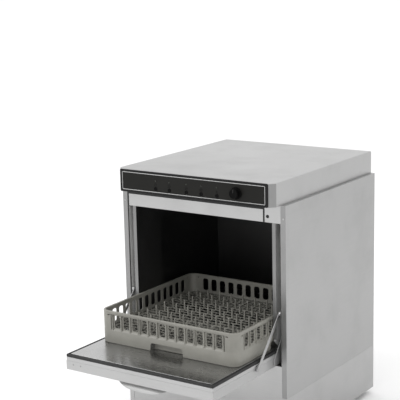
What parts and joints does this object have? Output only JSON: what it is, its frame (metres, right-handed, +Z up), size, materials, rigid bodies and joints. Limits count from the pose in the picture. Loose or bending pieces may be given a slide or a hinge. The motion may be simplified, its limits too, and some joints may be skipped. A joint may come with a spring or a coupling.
{
  "type": "undercounter commercial dishwasher",
  "caption": "Stainless undercounter glass and dish washer with a black console, drop-down double-skin door, wash and rinse arms and a square plastic dish rack.",
  "frame": {"origin": "on the floor, under the middle of the space the machine takes up with its door open, at the bottom centre of its bounding box", "axes": "+Z up, the door opens towards -Y, +X is the machine's right seen from the front"},
  "size_m": [0.6, 0.954, 0.84],
  "materials": {
    "steel": "fine satin grain",
    "chamber_steel": "dull satin, in shade inside the chamber",
    "black_plastic": "fine moulded grain",
    "fascia": "semi-gloss film over the console",
    "rubber": "matt",
    "rack_plastic": "moulded polypropylene",
    "grey_plastic": "moulded",
    "cast_metal": "cast and zinc plated",
    "lens": "clear light guide",
    "circuit_board": "solder mask"
  },
  "bodies": {
    "root": {"base_tray": "steel", "base_skirt": "steel", "side_panel_left": "steel", "side_panel_right": "steel", "lower_front_panel": "steel", "upper_front_panel": "steel", "rear_panel": "steel", "top_cover": "steel", "rinse_boiler": "steel", "wash_chamber": "chamber_steel", "wash_tank": "chamber_steel", "rack_guide": "chamber_steel", "tank_filter": "chamber_steel", "tank_heater": "chamber_steel", "lower_spindle": "chamber_steel", "upper_spindle": "chamber_steel", "foot_front_left": "black_plastic", "foot_front_right": "black_plastic", "foot_rear_left": "black_plastic", "foot_rear_right": "black_plastic", "door_sensor": "black_plastic", "console_bezel": "black_plastic", "pump_volute": "black_plastic", "power_contactor": "black_plastic", "cable_gland": "black_plastic", "fascia_panel": "fascia", "wash_feed_pipe": "rubber", "wash_riser_pipe": "rubber", "rinse_hose": "rubber", "selector_switch": "grey_plastic", "sump_filter": "grey_plastic", "overflow_standpipe": "grey_plastic", "drain_pipe": "grey_plastic", "inlet_valve": "grey_plastic", "pressure_switch": "grey_plastic", "pump_motor": "cast_metal", "pilot_light_bar": "lens", "control_board": "circuit_board"},
    "door": {"door_outer_skin": "steel", "door_inner_skin": "steel", "door_seal": "rubber", "door_handle": "steel", "hinge_arm_left": "cast_metal", "hinge_arm_right": "cast_metal"},
    "hinge_pins": {"hinge_pin_left": "cast_metal", "hinge_pin_right": "cast_metal"},
    "rack": {"dish_rack": "rack_plastic"},
    "stay_left": {"door_stay_left": "steel"},
    "stay_right": {"door_stay_right": "steel"},
    "knob": {"selector_knob": "black_plastic"},
    "key_1": {"push_key_1": "black_plastic"},
    "key_2": {"push_key_2": "black_plastic"},
    "key_3": {"push_key_3": "black_plastic"},
    "key_4": {"push_key_4": "black_plastic"},
    "key_5": {"push_key_5": "black_plastic"},
    "lower_wash_arm": {"wash_arm_lower": "chamber_steel"},
    "lower_rinse_arm": {"rinse_arm_lower": "chamber_steel"},
    "upper_wash_arm": {"wash_arm_upper": "chamber_steel"},
    "upper_rinse_arm": {"rinse_arm_upper": "chamber_steel"},
    "pump_shaft": {"pump_rotor": "cast_metal"}
  },
  "joints": [
    {"name": "door_hinge", "type": "hinge", "parent": "root", "child": "door", "pos_m": [0, -0.08, 0.368], "axis": [-1, 0, 0], "range_deg": [0, 90]},
    {"name": "hinge_pin_turn", "type": "hinge", "parent": "root", "child": "hinge_pins", "pos_m": [0, -0.08, 0.368], "axis": [-1, 0, 0], "range_deg": [0, 220.5]},
    {"name": "rack_travel", "type": "hinge", "parent": "hinge_pins", "child": "rack", "pos_m": [0, -0.1825, 0.33069], "axis": [-1, 0, 0], "range_deg": [-220.5, 0]},
    {"name": "stay_left_pivot", "type": "hinge", "parent": "door", "child": "stay_left", "pos_m": [-0.2715, -0.247, 0.294], "axis": [1, 0, 0], "range_deg": [0, 112.7]},
    {"name": "stay_right_pivot", "type": "hinge", "parent": "door", "child": "stay_right", "pos_m": [0.2715, -0.247, 0.294], "axis": [1, 0, 0], "range_deg": [0, 112.7]},
    {"name": "selector_turn", "type": "hinge", "parent": "root", "child": "knob", "pos_m": [0.161, -0.177, 0.802], "axis": [0, 1, 0], "range_deg": [0, 270]},
    {"name": "key_1_press", "type": "slide", "parent": "root", "child": "key_1", "axis": [0, 1, 0], "range_m": [0, 0.0012], "stiffness_N_per_m": 400, "springref_m": -0.001},
    {"name": "key_2_press", "type": "slide", "parent": "root", "child": "key_2", "axis": [0, 1, 0], "range_m": [0, 0.0012], "stiffness_N_per_m": 400, "springref_m": -0.001},
    {"name": "key_3_press", "type": "slide", "parent": "root", "child": "key_3", "axis": [0, 1, 0], "range_m": [0, 0.0012], "stiffness_N_per_m": 400, "springref_m": -0.001},
    {"name": "key_4_press", "type": "slide", "parent": "root", "child": "key_4", "axis": [0, 1, 0], "range_m": [0, 0.0012], "stiffness_N_per_m": 400, "springref_m": -0.001},
    {"name": "key_5_press", "type": "slide", "parent": "root", "child": "key_5", "axis": [0, 1, 0], "range_m": [0, 0.0012], "stiffness_N_per_m": 400, "springref_m": -0.001},
    {"name": "lower_wash_spin", "type": "hinge", "parent": "root", "child": "lower_wash_arm", "pos_m": [0, 0.131, 0.2465], "axis": [0, 0, 1], "continuous": true},
    {"name": "lower_rinse_spin", "type": "hinge", "parent": "root", "child": "lower_rinse_arm", "pos_m": [0, 0.131, 0.2605], "axis": [0, 0, 1], "continuous": true},
    {"name": "upper_wash_spin", "type": "hinge", "parent": "root", "child": "upper_wash_arm", "pos_m": [0, 0.131, 0.683], "axis": [0, 0, 1], "continuous": true},
    {"name": "upper_rinse_spin", "type": "hinge", "parent": "root", "child": "upper_rinse_arm", "pos_m": [0, 0.131, 0.6995], "axis": [0, 0, 1], "continuous": true},
    {"name": "pump_spin", "type": "hinge", "parent": "root", "child": "pump_shaft", "pos_m": [-0.15, -0.007, 0.07], "axis": [0, 1, 0], "continuous": true}
  ],
  "couplings": [
    {"joint": "hinge_pin_turn", "follows": "door_hinge", "ratio": 2.4444},
    {"joint": "rack_travel", "follows": "door_hinge", "ratio": -2.4444},
    {"joint": "stay_left_pivot", "follows": "door_hinge", "ratio": 1.25},
    {"joint": "stay_right_pivot", "follows": "door_hinge", "ratio": 1.25}
  ]
}
